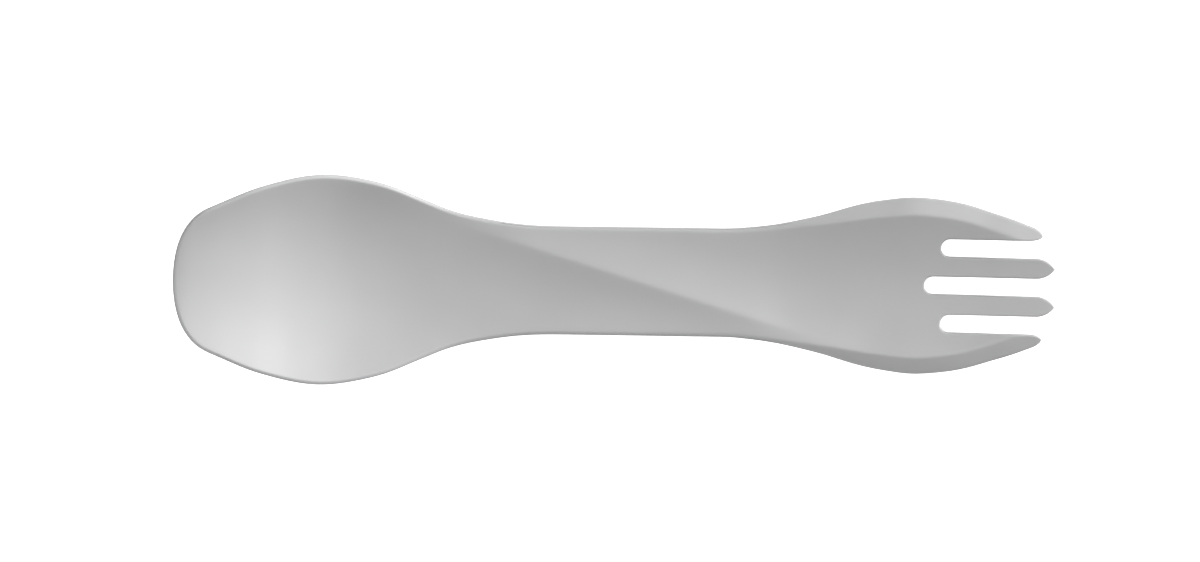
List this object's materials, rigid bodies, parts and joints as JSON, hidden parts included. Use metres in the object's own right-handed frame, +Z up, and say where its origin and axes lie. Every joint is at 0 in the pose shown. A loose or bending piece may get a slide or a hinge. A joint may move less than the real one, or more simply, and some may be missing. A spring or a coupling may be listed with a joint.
{
  "type": "spork",
  "caption": "One-piece plastic spork with a deep spoon at one end, a tined fork at the other and a handle crossed by a slanting crest.",
  "frame": {"origin": "centre of the bounding box's bottom: on the surface that the spork rests on, halfway between the spoon's tip and the tine points", "axes": "+X along the length from the spoon toward the fork, +Z up out of the hollow side, +Y to the left of +X"},
  "size_m": [0.16, 0.0382, 0.014],
  "materials": {
    "plastic": "light neutral grey, fine satin moulded surface"
  },
  "bodies": {
    "root": {"spoon_bowl": "plastic", "handle": "plastic", "fork_palm": "plastic", "outer_tine_left": "plastic", "inner_tine_left": "plastic", "inner_tine_right": "plastic", "outer_tine_right": "plastic"}
  },
  "joints": []
}
